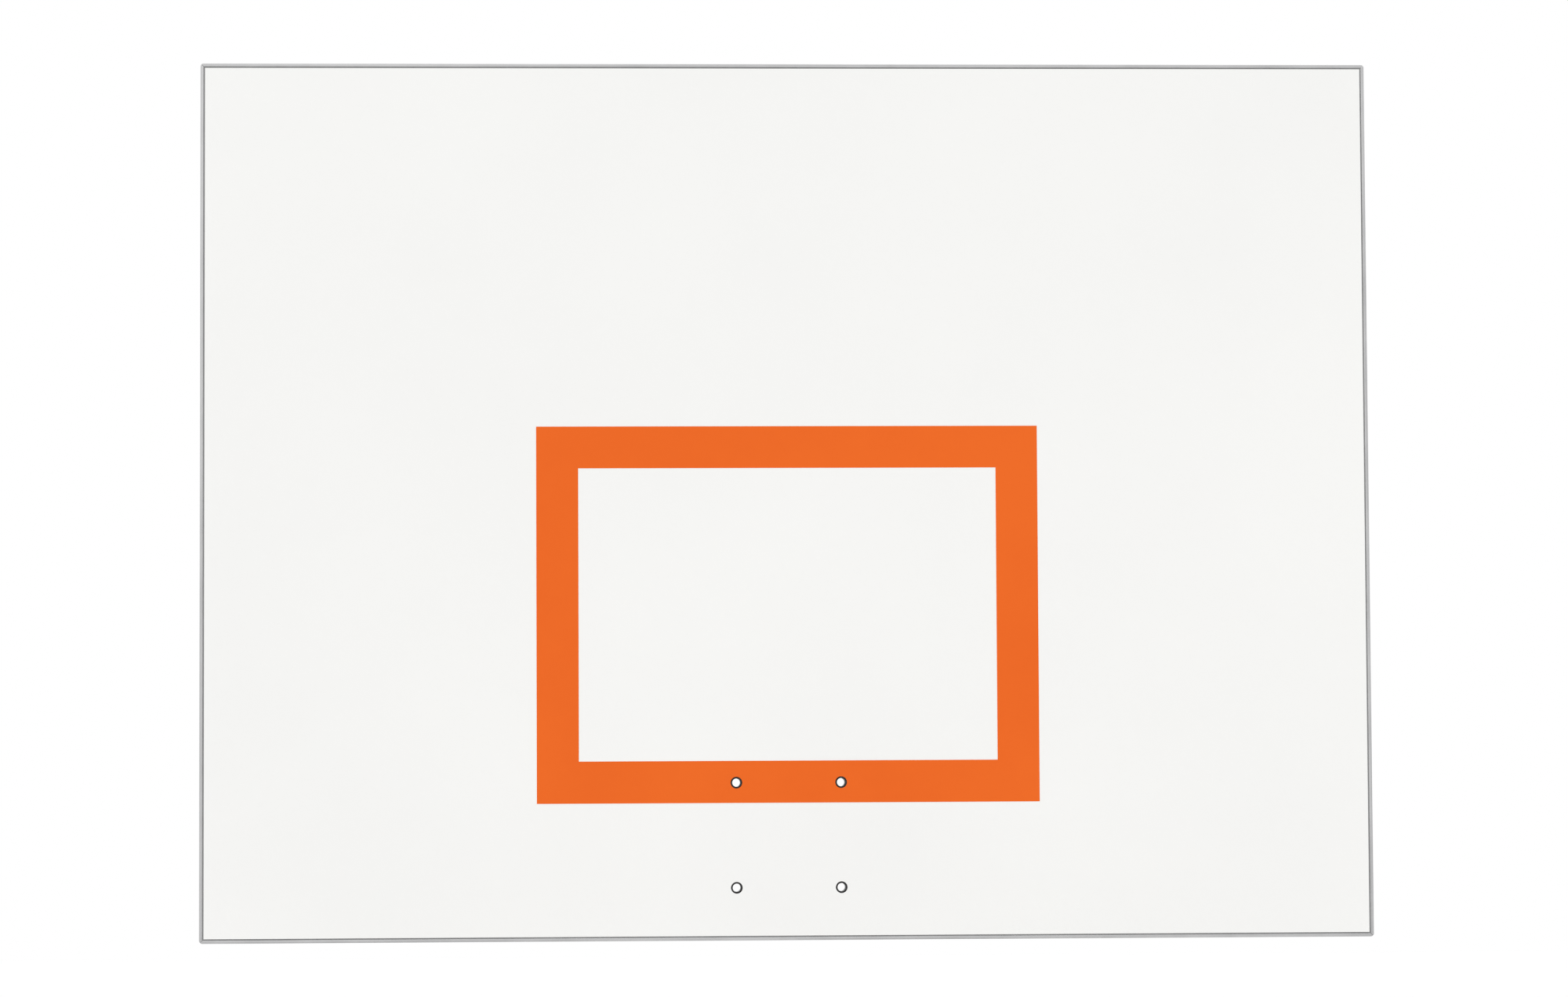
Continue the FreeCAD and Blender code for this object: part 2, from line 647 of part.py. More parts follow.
# Pan-head screws driven into the panel from behind, seated at the given depth.
def panel_screws(label, places, seat):
    body = new_piece(label)
    sketch = face_sketch(body, f"{label}_shanks", seat)
    draw_circles(sketch, places, "dims.screw_shank")
    reach = f"({seat} - {panel_back} + dims.screw_bite)"
    add_pad(body, sketch, reach, to_back=False)
    sketch = face_sketch(body, f"{label}_heads", seat)
    draw_circles(sketch, places, "dims.screw_head")
    add_pad(body, sketch, "dims.screw_head_height")
    rims = circular_edges(body.Shape, lambda edge: same(edge.CenterOfMass.y, body.Shape.BoundBox.YMax))
    dress(body, "Chamfer", rims, "dims.screw_bevel")


panel_screws("frame_screws", frame_screw_places, lip_front)
panel_screws("corner_screws", corner_screw_places, f"({lip_front} + dims.plate_wall)")
panel_screws("rail_screws", rail_screw_places, f"({lip_front} + dims.rail_sheet)")


# Countersunk bolts from the panel side, each with a washer and a nut on the back.
def bolt_set(name, groups):
    bolts, washers, nuts = [new_piece(f"{name}_{kind}") for kind in ("bolts", "washers", "nuts")]
    for places, seat in groups:
        sketch = face_sketch(bolts, f"{name}_heads", panel_back)
        draw_circles(sketch, places, "dims.bolt_head")
        head = add_pad(bolts, sketch, "(dims.bolt_head - dims.bolt_shank) / 2")
        head.TaperAngle = -45
        sketch = face_sketch(bolts, f"{name}_shanks", panel_back)
        draw_circles(sketch, places, "dims.bolt_shank")
        add_pad(bolts, sketch, f"{seat} + dims.washer + dims.nut + dims.bolt_proud - {panel_back}")
        sketch = face_sketch(washers, f"{name}_washer_outline", seat)
        draw_circles(sketch, places, "dims.washer_outer")
        draw_circles(sketch, places, bolt_hole)
        add_pad(washers, sketch, "dims.washer")
        sketch = face_sketch(nuts, f"{name}_nut_outline", f"({seat} + dims.washer)")
        draw_hexagons(sketch, places, "dims.nut_flats")
        draw_circles(sketch, places, "dims.bolt_shank")
        add_pad(nuts, sketch, "dims.nut")
    lip_face = -value("rail_depth")
    tips = circular_edges(bolts.Shape, lambda edge: edge.CenterOfMass.y > lip_face)
    dress(bolts, "Chamfer", tips, "dims.bolt_tip")


on_lip = f"({lip_front} + dims.rail_sheet)"
bolt_set("rail", [(rail_bolt_places, on_lip)])
bolt_set("bracket", [(bracket_top_places, on_lip), (bracket_foot_places, foot_back)])

# Every feature must have built before any piece is written.
doc.recompute()
for thing in doc.Objects:
    if {"Invalid", "Error"} & set(thing.State):
        raise RuntimeError(f"{thing.Label} did not build: {thing.State}")
os.makedirs("parts", exist_ok=True)
for body in pieces:
    if body.Shape.isNull() or not body.Shape.isValid():
        raise RuntimeError(f"{body.Label} has no valid shape")
for body in pieces:
    body.Shape.exportStep(f"parts/{body.Label}.step")
    print(body.Label, len(body.Shape.Solids), "solids", round(body.Shape.Volume / 1000, 2), "cm3")
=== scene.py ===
import bpy
import math
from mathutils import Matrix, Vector


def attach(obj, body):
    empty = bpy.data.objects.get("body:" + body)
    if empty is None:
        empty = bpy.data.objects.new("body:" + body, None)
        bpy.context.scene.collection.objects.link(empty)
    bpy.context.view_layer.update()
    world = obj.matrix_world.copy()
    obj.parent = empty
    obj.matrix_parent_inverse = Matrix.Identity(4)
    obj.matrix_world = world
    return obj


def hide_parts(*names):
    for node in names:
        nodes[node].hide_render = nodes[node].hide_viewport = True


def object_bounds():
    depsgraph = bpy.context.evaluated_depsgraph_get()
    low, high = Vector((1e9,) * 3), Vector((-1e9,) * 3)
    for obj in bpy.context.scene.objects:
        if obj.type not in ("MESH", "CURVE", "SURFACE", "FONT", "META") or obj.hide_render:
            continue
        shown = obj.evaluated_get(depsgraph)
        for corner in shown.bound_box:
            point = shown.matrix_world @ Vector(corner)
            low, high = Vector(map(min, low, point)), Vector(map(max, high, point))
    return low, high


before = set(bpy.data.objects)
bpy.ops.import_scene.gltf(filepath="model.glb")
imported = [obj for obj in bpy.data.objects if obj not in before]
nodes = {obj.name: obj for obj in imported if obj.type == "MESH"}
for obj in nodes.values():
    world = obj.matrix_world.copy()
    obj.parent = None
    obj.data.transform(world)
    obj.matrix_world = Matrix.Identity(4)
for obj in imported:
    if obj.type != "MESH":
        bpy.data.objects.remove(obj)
cadBox = [list(corner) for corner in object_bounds()]
print("board loaded:", len(nodes), "nodes")

# Small helpers for working on one object at a time. Sizes are in metres and angles in degrees.
bench = {"seedSize": 0.001, "mergeGap": 1e-6, "placeDigits": 4, "smoothAngle": 32, "quarterTurn": 90}


def deselectAll():
    bpy.ops.object.select_all(action="DESELECT")


def makeActive(piece):
    deselectAll()
    piece.select_set(True)
    bpy.context.view_layer.objects.active = piece


def pick(piece, kind, wanted):  # leaves the piece in edit mode with only these parts selected
    makeActive(piece)
    bpy.ops.object.mode_set(mode="EDIT")
    bpy.ops.mesh.select_mode(type=kind)
    bpy.ops.mesh.select_all(action="DESELECT")
    bpy.ops.object.mode_set(mode="OBJECT")
    parts = {"VERT": piece.data.vertices, "FACE": piece.data.polygons}[kind]
    for part in parts:
        part.select = wanted(part)
    bpy.ops.object.mode_set(mode="EDIT")


def mergeDoubles():  # in edit mode, and leaves all selected
    bpy.ops.mesh.select_all(action="SELECT")
    bpy.ops.mesh.remove_doubles(threshold=bench["mergeGap"])


def combine(piece, tool, operation):  # boolean with another object, which is used up
    cut = piece.modifiers.new("cut", "BOOLEAN")
    cut.operation = operation
    cut.solver = "EXACT"
    cut.object = tool
    makeActive(piece)
    bpy.ops.object.modifier_apply(modifier=cut.name)
    bpy.data.objects.remove(tool)


def spinProfile(name, profile, steps):  # (radius, along Y) pairs turned round the Y axis
    deselectAll()
    bpy.ops.mesh.primitive_plane_add(size=bench["seedSize"])
    piece = bpy.context.object
    piece.name = name
    bpy.ops.object.mode_set(mode="EDIT")
    bpy.ops.mesh.merge(type="CENTER")  # the plane becomes the first point of the profile
    bpy.ops.transform.translate(value=(*profile[0], 0))
    for (radius, along), (nextRadius, nextAlong) in zip(profile, profile[1:]):
        step = (nextRadius - radius, nextAlong - along, 0)
        bpy.ops.mesh.extrude_vertices_move(TRANSFORM_OT_translate={"value": step})
    bpy.ops.mesh.select_all(action="SELECT")
    bpy.ops.mesh.spin(steps=steps, angle=math.tau, center=(0, 0, 0), axis=(0, 1, 0))
    mergeDoubles()
    bpy.ops.mesh.normals_make_consistent(inside=False)
    bpy.ops.object.mode_set(mode="OBJECT")
    return piece


def plainPlaces(nodeName):  # the box of each separate solid in a node, from the bottom up
    copy = bpy.data.objects.new("placeFinder", nodes[nodeName].data.copy())
    bpy.context.scene.collection.objects.link(copy)
    makeActive(copy)
    bpy.ops.object.mode_set(mode="EDIT")
    mergeDoubles()
    bpy.ops.mesh.separate(type="LOOSE")
    bpy.ops.object.mode_set(mode="OBJECT")
    places = []
    for part in list(bpy.context.selected_objects):
        points = [vertex.co for vertex in part.data.vertices]
        low = Vector([min(point[axis] for point in points) for axis in range(3)])
        high = Vector([max(point[axis] for point in points) for axis in range(3)])
        places.append((low, high))
        bpy.data.objects.remove(part)
    digits = bench["placeDigits"]
    return sorted(places, key=lambda place: (round(place[0].z, digits), round(place[0].x, digits)))


# Finishes: a pattern's values are named for its sockets, tones are (position, colour) stops along a
# pattern, a roughness is (least, most) and a bump is (strength, height).
noiseSpan = {"From Min": 0.25, "From Max": 0.75}  # where most of a noise lies
colourMix = {"amount": 0, "first": 6, "second": 7, "result": 2}  # a Mix node's colour sockets, by number


def setSockets(node, values):
    for socket, number in values.items():
        node.inputs[socket].default_value = number


def newFinish(name, metallic=0, roughness=0.5):
    finish = bpy.data.materials.new(name)
    finish.use_nodes = True
    tree = finish.node_tree
    shader = tree.nodes["Principled BSDF"]
    setSockets(shader, {"Metallic": metallic, "Roughness": roughness})
    return finish, tree, shader


def pattern(tree, values, stretch=(1, 1, 1), kind="ShaderNodeTexNoise"):
    coords = tree.nodes.new("ShaderNodeTexCoord")
    mapping = tree.nodes.new("ShaderNodeMapping")
    mapping.inputs["Scale"].default_value = stretch
    texture = tree.nodes.new(kind)
    setSockets(texture, values)
    tree.links.new(coords.outputs["Object"], mapping.inputs["Vector"])
    tree.links.new(mapping.outputs["Vector"], texture.inputs["Vector"])
    return texture


def ramp(tree, source, stops):
    colours = tree.nodes.new("ShaderNodeValToRGB")
    elements = colours.color_ramp.elements
    for stop in stops[1:-1]:  # a new ramp already has its two ends
        elements.new(stop[0])
    for element, (position, colour) in zip(elements, stops):
        element.position = position
        element.color = (*colour, 1)
    tree.links.new(source, colours.inputs["Fac"])
    return colours.outputs["Color"]


def spread(tree, source, low, high):
    stretch = tree.nodes.new("ShaderNodeMapRange")
    setSockets(stretch, noiseSpan)
    setSockets(stretch, {"To Min": low, "To Max": high})
    tree.links.new(source, stretch.inputs["Value"])
    return stretch.outputs["Result"]


def multiplyColours(tree, first, second):
    mix = tree.nodes.new("ShaderNodeMix")
    mix.data_type = "RGBA"
    mix.blend_type = "MULTIPLY"
    mix.inputs[colourMix["amount"]].default_value = 1
    tree.links.new(first, mix.inputs[colourMix["first"]])
    tree.links.new(second, mix.inputs[colourMix["second"]])
    return mix.outputs[colourMix["result"]]


def wearColour(tree, colour, worn, amount):
    mix = tree.nodes.new("ShaderNodeMix")
    mix.data_type = "RGBA"
    mix.inputs[colourMix["second"]].default_value = (*worn, 1)
    tree.links.new(amount, mix.inputs[colourMix["amount"]])
    tree.links.new(colour, mix.inputs[colourMix["first"]])
    return mix.outputs[colourMix["result"]]


def addBump(tree, shader, height, strength, distance, surface=None):
    bump = tree.nodes.new("ShaderNodeBump")
    setSockets(bump, {"Strength": strength, "Distance": distance})
    tree.links.new(height, bump.inputs["Height"])
    if surface:
        tree.links.new(surface, bump.inputs["Normal"])
    tree.links.new(bump.outputs["Normal"], shader.inputs["Normal"])


# Wear grows from none to full between these cosines of a flat face to its rounded edge.
edge = {"wear": {"From Min": 0.98, "From Max": 0.78}, "samples": 8,
        "scuffs": {"Scale": 120, "Detail": 4, "Roughness": 0.6}, "scuffShares": (0.2, 1)}


def softEdges(tree, radius):  # a normal rounded over sharp edges, and how rubbed each point is
    rounded = tree.nodes.new("ShaderNodeBevel")
    rounded.samples = edge["samples"]
    rounded.inputs["Radius"].default_value = radius
    flat = tree.nodes.new("ShaderNodeNewGeometry")
    cosine = tree.nodes.new("ShaderNodeVectorMath")
    cosine.operation = "DOT_PRODUCT"
    near = tree.nodes.new("ShaderNodeMapRange")
    setSockets(near, edge["wear"])
    scuffs = pattern(tree, edge["scuffs"])
    rubbed = tree.nodes.new("ShaderNodeMath")
    rubbed.operation = "MULTIPLY"
    tree.links.new(rounded.outputs["Normal"], cosine.inputs[0])
    tree.links.new(flat.outputs["Normal"], cosine.inputs[1])
    tree.links.new(cosine.outputs["Value"], near.inputs["Value"])
    tree.links.new(near.outputs["Result"], rubbed.inputs[0])
    tree.links.new(spread(tree, scuffs.outputs["Fac"], *edge["scuffShares"]), rubbed.inputs[1])
    return rounded.outputs["Normal"], rubbed.outputs["Value"]


def dress(finish, *nodeNames):
    for nodeName in nodeNames:
        slots = nodes[nodeName].data.materials
        slots.clear()
        slots.append(finish)


# Playing face: satin white laminate with a fine pebble.
face = {"clouds": {"Scale": 2.4, "Detail": 4, "Roughness": 0.55},
        "tones": [(0.35, (0.900, 0.900, 0.884)), (0.65, (0.918, 0.918, 0.900))],
        "handling": {"Scale": 9, "Detail": 6, "Roughness": 0.7}, "handlingStretch": (1, 1, 2.2),
        "roughness": (0.36, 0.46),
        "pebble": {"Scale": 620, "Detail": 2, "Roughness": 0.5}, "bump": (0.35, 0.00006)}
whiteLaminate, tree, shader = newFinish("whiteLaminate")
clouds = pattern(tree, face["clouds"])
handling = pattern(tree, face["handling"], face["handlingStretch"])
pebble = pattern(tree, face["pebble"])
tree.links.new(ramp(tree, clouds.outputs["Fac"], face["tones"]), shader.inputs["Base Color"])
tree.links.new(spread(tree, handling.outputs["Fac"], *face["roughness"]), shader.inputs["Roughness"])
addBump(tree, shader, pebble.outputs["Fac"], *face["bump"])
dress(whiteLaminate, "face_sheet")

# Target border: orange vinyl film.
film = {"clouds": {"Scale": 5, "Detail": 5, "Roughness": 0.6},
        "tones": [(0.3, (0.826, 0.130, 0.010)), (0.62, (0.855, 0.142, 0.012))],
        "roughness": (0.38, 0.50), "gloss": 0.15,
        "grain": {"Scale": 900, "Detail": 2}, "bump": (0.3, 0.00003)}
orangeFilm, tree, shader = newFinish("orangeFilm")
shader.inputs["Specular IOR Level"].default_value = film["gloss"]
clouds = pattern(tree, film["clouds"])
grain = pattern(tree, film["grain"])
tree.links.new(ramp(tree, clouds.outputs["Fac"], film["tones"]), shader.inputs["Base Color"])
tree.links.new(spread(tree, clouds.outputs["Fac"], *film["roughness"]), shader.inputs["Roughness"])
addBump(tree, shader, grain.outputs["Fac"], *film["bump"])
dress(orangeFilm, "target_border")

# Frame: mill-finish aluminium with die lines along each bar.
angle = {"lines": {"Scale": 1, "Detail": 3, "Roughness": 0.6},
         "across": (3, 700, 700), "upright": (700, 700, 3),
         "lineTones": [(0.32, (0.432, 0.432, 0.436)), (0.68, (0.530, 0.530, 0.532))],
         "stains": {"Scale": 14, "Detail": 6, "Roughness": 0.65},
         "stainTones": [(0.30, (0.86, 0.86, 0.86)), (0.60, (1, 1, 1))],
         "roughness": (0.30, 0.46), "bump": (0.4, 0.00004),
         "edgeRadius": 0.0009, "worn": (0.640, 0.640, 0.641)}


def millAluminium(name, stretch):
    finish, tree, shader = newFinish(name, metallic=1)
    lines = pattern(tree, angle["lines"], stretch)
    stains = pattern(tree, angle["stains"])
    streaks = ramp(tree, lines.outputs["Fac"], angle["lineTones"])
    patches = ramp(tree, stains.outputs["Fac"], angle["stainTones"])
    metal = multiplyColours(tree, streaks, patches)
    surface, rubbed = softEdges(tree, angle["edgeRadius"])
    tree.links.new(wearColour(tree, metal, angle["worn"], rubbed), shader.inputs["Base Color"])
    tree.links.new(spread(tree, stains.outputs["Fac"], *angle["roughness"]), shader.inputs["Roughness"])
    addBump(tree, shader, lines.outputs["Fac"], *angle["bump"], surface)
    return finish


dress(millAluminium("millAluminiumAcross", angle["across"]), "frame_top", "frame_bottom")
dress(millAluminium("millAluminiumUpright", angle["upright"]), "frame_left", "frame_right")

# Rails, bracket and corner plates: hot-dip zinc, each crystal of its spangle feathered its own way.
zinc = {"crystals": {"Scale": 130}, "ragged": {"Scale": 190, "Detail": 3}, "raggedReach": 0.0035,
        "crystalTones": [(0, (0.470, 0.480, 0.496)), (0.45, (0.560, 0.569, 0.583)),
                         (1, (0.630, 0.638, 0.650))],
        "feather": {"Scale": 1, "Detail": 3}, "featherStretch": (60, 900, 900),
        "featherTones": [(0.30, (0.80, 0.80, 0.80)), (0.66, (1, 1, 1))],
        "weather": {"Scale": 6, "Detail": 7, "Roughness": 0.62},
        "weatherTones": [(0.32, (0.86, 0.86, 0.87)), (0.62, (1, 1, 1))],
        "roughness": (0.30, 0.50), "bump": (0.3, 0.00003),
        "edgeRadius": 0.0011, "worn": (0.715, 0.720, 0.726)}


def zincCrystals(tree):  # a random colour for each crystal, and streaks turned by that colour
    coords = tree.nodes.new("ShaderNodeTexCoord")
    wobble = pattern(tree, zinc["ragged"])
    ragged = tree.nodes.new("ShaderNodeVectorMath")
    ragged.operation = "MULTIPLY_ADD"
    ragged.inputs[1].default_value = [zinc["raggedReach"]] * 3
    crystals = tree.nodes.new("ShaderNodeTexVoronoi")
    setSockets(crystals, zinc["crystals"])
    fullTurn = tree.nodes.new("ShaderNodeVectorMath")
    fullTurn.operation = "SCALE"
    fullTurn.inputs["Scale"].default_value = math.tau
    turned = tree.nodes.new("ShaderNodeVectorRotate")
    turned.rotation_type = "EULER_XYZ"
    stretched = tree.nodes.new("ShaderNodeMapping")
    stretched.inputs["Scale"].default_value = zinc["featherStretch"]
    feather = tree.nodes.new("ShaderNodeTexNoise")
    setSockets(feather, zinc["feather"])
    tree.links.new(wobble.outputs["Color"], ragged.inputs[0])
    tree.links.new(coords.outputs["Object"], ragged.inputs[2])
    tree.links.new(ragged.outputs["Vector"], crystals.inputs["Vector"])
    tree.links.new(crystals.outputs["Color"], fullTurn.inputs[0])
    tree.links.new(coords.outputs["Object"], turned.inputs["Vector"])
    tree.links.new(fullTurn.outputs["Vector"], turned.inputs["Rotation"])
    tree.links.new(turned.outputs["Vector"], stretched.inputs["Vector"])
    tree.links.new(stretched.outputs["Vector"], feather.inputs["Vector"])
    return crystals.outputs["Color"], feather.outputs["Fac"]


zincSpangle, tree, shader = newFinish("zincSpangle", metallic=1)
crystalColour, feather = zincCrystals(tree)
weather = pattern(tree, zinc["weather"])
cell = tree.nodes.new("ShaderNodeSeparateColor")
tree.links.new(crystalColour, cell.inputs["Color"])
facets = ramp(tree, cell.outputs["Red"], zinc["crystalTones"])
streaks = ramp(tree, feather, zinc["featherTones"])
dulling = ramp(tree, weather.outputs["Fac"], zinc["weatherTones"])
metal = multiplyColours(tree, multiplyColours(tree, facets, streaks), dulling)
surface, rubbed = softEdges(tree, zinc["edgeRadius"])
tree.links.new(wearColour(tree, metal, zinc["worn"], rubbed), shader.inputs["Base Color"])
tree.links.new(spread(tree, cell.outputs["Green"], *zinc["roughness"]), shader.inputs["Roughness"])
addBump(tree, shader, feather, *zinc["bump"], surface)
dress(zincSpangle, "upper_rail", "lower_rail", "rim_bracket", "corner_plate_top_left",
      "corner_plate_top_right", "corner_plate_bottom_left", "corner_plate_bottom_right")

# Fasteners: bright zinc plate, a little blue and yellow.
plating = {"hue": {"Scale": 160, "Detail": 3, "Roughness": 0.6},
           "tones": [(0.34, (0.600, 0.622, 0.650)), (0.66, (0.660, 0.645, 0.590))],
           "scratches": {"Scale": 1, "Detail": 3, "Roughness": 0.7}, "scratchStretch": (2600, 300, 2600),
           "roughness": (0.24, 0.40), "bump": (0.2, 0.00002)}
brightPlate, tree, shader = newFinish("brightPlate", metallic=1)
hue = pattern(tree, plating["hue"])
scratches = pattern(tree, plating["scratches"], plating["scratchStretch"])
tree.links.new(ramp(tree, hue.outputs["Fac"], plating["tones"]), shader.inputs["Base Color"])
tree.links.new(spread(tree, scratches.outputs["Fac"], *plating["roughness"]), shader.inputs["Roughness"])
addBump(tree, shader, scratches.outputs["Fac"], *plating["bump"])
dress(brightPlate, "rail_washers", "bracket_washers")

# Rim sleeves: steel coloured near-black as painted shade inside the rim holes, rubbed paler here and there.
sleeve = {"rubbing": {"Scale": 240, "Detail": 5, "Roughness": 0.65},
          "tones": [(0.40, (0.030, 0.030, 0.031)), (0.72, (0.060, 0.059, 0.058))],
          "roughness": (0.34, 0.52),
          "turning": {"Scale": 1, "Detail": 2}, "turningStretch": (200, 2800, 200), "bump": (0.3, 0.00002)}
holeShadeSteel, tree, shader = newFinish("holeShadeSteel", metallic=1)
rubbing = pattern(tree, sleeve["rubbing"])
turning = pattern(tree, sleeve["turning"], sleeve["turningStretch"])
tree.links.new(ramp(tree, rubbing.outputs["Fac"], sleeve["tones"]), shader.inputs["Base Color"])
tree.links.new(spread(tree, rubbing.outputs["Fac"], *sleeve["roughness"]), shader.inputs["Roughness"])
addBump(tree, shader, turning.outputs["Fac"], *sleeve["bump"])

# Rubber: black strips under the rails and the grey seal round the panel.
rubber = {"bloom": {"Scale": 45, "Detail": 6, "Roughness": 0.7},
          "stripTones": [(0.35, (0.020, 0.020, 0.021)), (0.70, (0.036, 0.036, 0.037))],
          "sealTones": [(0.35, (0.258, 0.259, 0.261)), (0.70, (0.312, 0.313, 0.315))],
          "roughness": (0.62, 0.80), "skin": {"Scale": 1100, "Detail": 2}, "bump": (0.4, 0.00008)}


def softRubber(name, tones):
    finish, tree, shader = newFinish(name)
    bloom = pattern(tree, rubber["bloom"])
    skin = pattern(tree, rubber["skin"])
    tree.links.new(ramp(tree, bloom.outputs["Fac"], tones), shader.inputs["Base Color"])
    tree.links.new(spread(tree, bloom.outputs["Fac"], *rubber["roughness"]), shader.inputs["Roughness"])
    addBump(tree, shader, skin.outputs["Fac"], *rubber["bump"])
    return finish


dress(softRubber("blackStrip", rubber["stripTones"]), "upper_rail_pads", "lower_rail_pads")
dress(softRubber("greySeal", rubber["sealTones"]), "edge_seal")

# Core: plywood with its plies through the thickness and its grain along the board.
ply = {"layers": {"Scale": 110, "Distortion": 0.6, "Detail": 2},
       "layerTones": [(0.2, (0.330, 0.190, 0.090)), (0.7, (0.560, 0.370, 0.200))],
       "grain": {"Scale": 3, "Detail": 5, "Roughness": 0.6}, "grainStretch": (4, 1, 90),
       "grainTones": [(0.3, (0.72, 0.68, 0.62)), (0.7, (1, 1, 1))],
       "roughness": 0.75, "bump": (0.3, 0.0001)}
plyCore, tree, shader = newFinish("plyCore", roughness=ply["roughness"])
layers = pattern(tree, ply["layers"], kind="ShaderNodeTexWave")
layers.bands_direction = "Y"
grain = pattern(tree, ply["grain"], ply["grainStretch"])
layerTone = ramp(tree, layers.outputs["Fac"], ply["layerTones"])
grainTone = ramp(tree, grain.outputs["Fac"], ply["grainTones"])
tree.links.new(multiplyColours(tree, layerTone, grainTone), shader.inputs["Base Color"])
addBump(tree, shader, grain.outputs["Fac"], *ply["bump"])
dress(plyCore, "core_board")

# Back: plain backing laminate, sanded and a little uneven.
backing = {"patches": {"Scale": 4, "Detail": 7, "Roughness": 0.65},
           "tones": [(0.32, (0.735, 0.732, 0.715)), (0.66, (0.790, 0.786, 0.765))],
           "sanding": {"Scale": 1, "Detail": 3}, "sandingStretch": (60, 1, 900),
           "roughness": (0.55, 0.70), "bump": (0.3, 0.00006)}
backLaminate, tree, shader = newFinish("backLaminate")
patches = pattern(tree, backing["patches"])
sanding = pattern(tree, backing["sanding"], backing["sandingStretch"])
tree.links.new(ramp(tree, patches.outputs["Fac"], backing["tones"]), shader.inputs["Base Color"])
tree.links.new(spread(tree, sanding.outputs["Fac"], *backing["roughness"]), shader.inputs["Roughness"])
addBump(tree, shader, sanding.outputs["Fac"], *backing["bump"])
dress(backLaminate, "back_sheet")
print("finishes ready:", len(bpy.data.materials))


# Fasteners: each is modelled once and copied to where the plain ones are.
def crossMiddle(low, high, along):  # the middle of a box seen along Y, at a given Y
    return ((low.x + high.x) / 2, along, (low.z + high.z) / 2)


def setOut(name, nodeName, master, spots, finish, turnStep=0):
    copies = []
    for step, spot in enumerate(spots):
        copy = bpy.data.objects.new(name, master.data.copy())
        bpy.context.scene.collection.objects.link(copy)
        copy.location = spot
        copy.rotation_euler = (0, math.radians(turnStep * step % bench["quarterTurn"]), 0)
        copies.append(copy)
    deselectAll()
    for copy in copies:
        copy.select_set(True)
    bpy.context.view_layer.objects.active = copies[0]
    bpy.ops.object.transform_apply(location=True, rotation=True, scale=True)
    bpy.ops.object.join()
    piece = bpy.context.object
    piece.name = name
    bpy.ops.object.shade_smooth_by_angle(angle=math.radians(bench["smoothAngle"]))
    piece.data.materials.clear()
    piece.data.materials.append(finish)
    bpy.data.objects.remove(master)
    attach(piece, "root")
    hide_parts(nodeName)
    print(name, len(copies), "copies,", len(piece.data.polygons), "faces")


# Pan screws: the head's sides are shares of its radius and rim, its crown shares of its radius and crown.
panScrew = {"headRadius": 0.0048, "headHeight": 0.0032, "footInset": 0.0003, "footHeight": 0.0004,
            "crown": 0.0011, "sideShares": [(1, 0.55), (0.95, 0.85)],
            "crownShares": [(0.84, 0.25), (0.66, 0.6), (0.40, 0.87)],
            "shankRadius": 0.0024, "tip": 0.004, "tipRadius": 0.0003,
            "recessArm": 0.0025, "recessWidth": 0.0011, "recessDepth": 0.0021, "recessTaper": 0.5,
            "steps": 28, "turnStep": 37}


def crossCutter():  # a tapered cross, from a cube with four sides drawn out
    width, reach, depth = panScrew["recessWidth"], panScrew["recessArm"], panScrew["recessDepth"]
    half, taper = width / 2, panScrew["recessTaper"]
    deselectAll()
    bpy.ops.mesh.primitive_cube_add(size=1, location=(0, panScrew["headHeight"] - depth / 2 + half, 0),
                                    scale=(width, depth + width, width))
    cutter = bpy.context.object
    bpy.ops.object.transform_apply(location=True, rotation=True, scale=True)
    for axis in (0, 2):
        for side in (-1, 1):
            pick(cutter, "FACE", lambda part: round(part.normal[axis]) == side
                 and abs(part.center[2 - axis]) < half)
            step = [0, 0, 0]
            step[axis] = side * (reach - half)
            bpy.ops.mesh.extrude_region_move(TRANSFORM_OT_translate={"value": step})
            bpy.ops.object.mode_set(mode="OBJECT")
    middle = panScrew["headHeight"] - depth / 2
    pick(cutter, "VERT", lambda part: part.co.y < middle)
    bpy.ops.transform.resize(value=(taper, 1, taper), center_override=(0, 0, 0))
    bpy.ops.mesh.select_all(action="SELECT")
    bpy.ops.mesh.normals_make_consistent(inside=False)
    bpy.ops.object.mode_set(mode="OBJECT")
    return cutter


def makeScrew(length):  # seated at Y zero, head towards the back
    radius, height, crown = panScrew["headRadius"], panScrew["headHeight"], panScrew["crown"]
    shank, rim = panScrew["shankRadius"], height - crown
    profile = [(0, -length), (panScrew["tipRadius"], -length), (shank, panScrew["tip"] - length), (shank, 0)]
    profile += [(radius - panScrew["footInset"], 0), (radius, panScrew["footHeight"])]
    profile += [(out * radius, up * rim) for out, up in panScrew["sideShares"]]
    profile += [(out * radius, rim + up * crown) for out, up in panScrew["crownShares"]]
    screw = spinProfile("panScrew", profile + [(0, height)], panScrew["steps"])
    combine(screw, crossCutter(), "DIFFERENCE")
    return screw


for name, nodeName in (("frame_pan_screws", "frame_screws"), ("corner_pan_screws", "corner_screws"),
                       ("rail_pan_screws", "rail_screws")):
    places = plainPlaces(nodeName)
    low, high = places[0]
    seat = high.y - panScrew["headHeight"]
    spots = [crossMiddle(low, high, seat) for low, high in places]
    screw = makeScrew(seat - low.y)
    setOut(name, nodeName, screw, spots, brightPlate, panScrew["turnStep"])

# Hex nuts: the chamfer takes the corners off from just inside the flats.
hexNut = {"sides": 6, "chamfer": 30, "faceShare": 0.97, "roomShare": 1.02, "coneSteps": 70,
          "boreRadius": 0.003, "boreSteps": 28}


